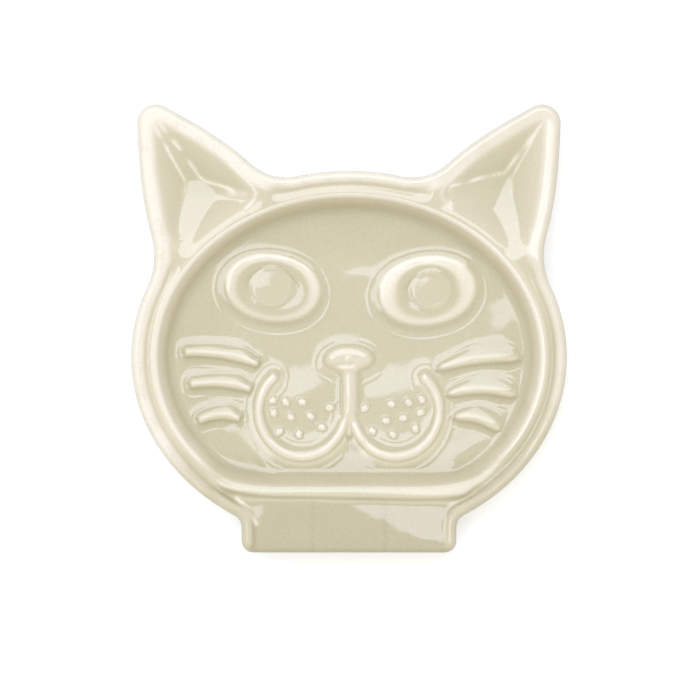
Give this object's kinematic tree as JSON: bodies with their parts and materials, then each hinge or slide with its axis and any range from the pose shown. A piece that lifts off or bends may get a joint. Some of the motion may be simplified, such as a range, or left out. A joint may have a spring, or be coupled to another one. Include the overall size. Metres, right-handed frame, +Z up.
{
  "type": "spoon rest",
  "caption": "Glazed ceramic spoon rest shaped as a cat's face: a shallow dish with hollow ears, a double rim, a chin tab for the handle and a raised face on its floor.",
  "frame": {"origin": "on the table, under the middle of the dish's bounding box", "axes": "+Z up out of the well, +Y from the chin tab towards the ears, +X towards the right-hand ear as seen from above"},
  "size_m": [0.12, 0.1233, 0.017],
  "materials": {
    "dish_glaze": "glossy pale celadon glaze, cream where thin on the crests, with an unglazed foot ring",
    "detail_glaze": "the same glossy glaze, thinner and creamier over the raised clay"
  },
  "bodies": {
    "root": {"dish_body": "dish_glaze", "left_eye_ring": "detail_glaze", "left_freckle_1": "detail_glaze", "left_freckle_10": "detail_glaze", "left_freckle_2": "detail_glaze", "left_freckle_3": "detail_glaze", "left_freckle_4": "detail_glaze", "left_freckle_5": "detail_glaze", "left_freckle_6": "detail_glaze", "left_freckle_7": "detail_glaze", "left_freckle_8": "detail_glaze", "left_freckle_9": "detail_glaze", "left_iris": "detail_glaze", "left_mouth_curl": "detail_glaze", "left_whisker_1": "detail_glaze", "left_whisker_2": "detail_glaze", "left_whisker_3": "detail_glaze", "nose": "detail_glaze", "philtrum": "detail_glaze", "right_eye_ring": "detail_glaze", "right_freckle_1": "detail_glaze", "right_freckle_10": "detail_glaze", "right_freckle_2": "detail_glaze", "right_freckle_3": "detail_glaze", "right_freckle_4": "detail_glaze", "right_freckle_5": "detail_glaze", "right_freckle_6": "detail_glaze", "right_freckle_7": "detail_glaze", "right_freckle_8": "detail_glaze", "right_freckle_9": "detail_glaze", "right_iris": "detail_glaze", "right_mouth_curl": "detail_glaze", "right_whisker_1": "detail_glaze", "right_whisker_2": "detail_glaze", "right_whisker_3": "detail_glaze"}
  },
  "joints": []
}
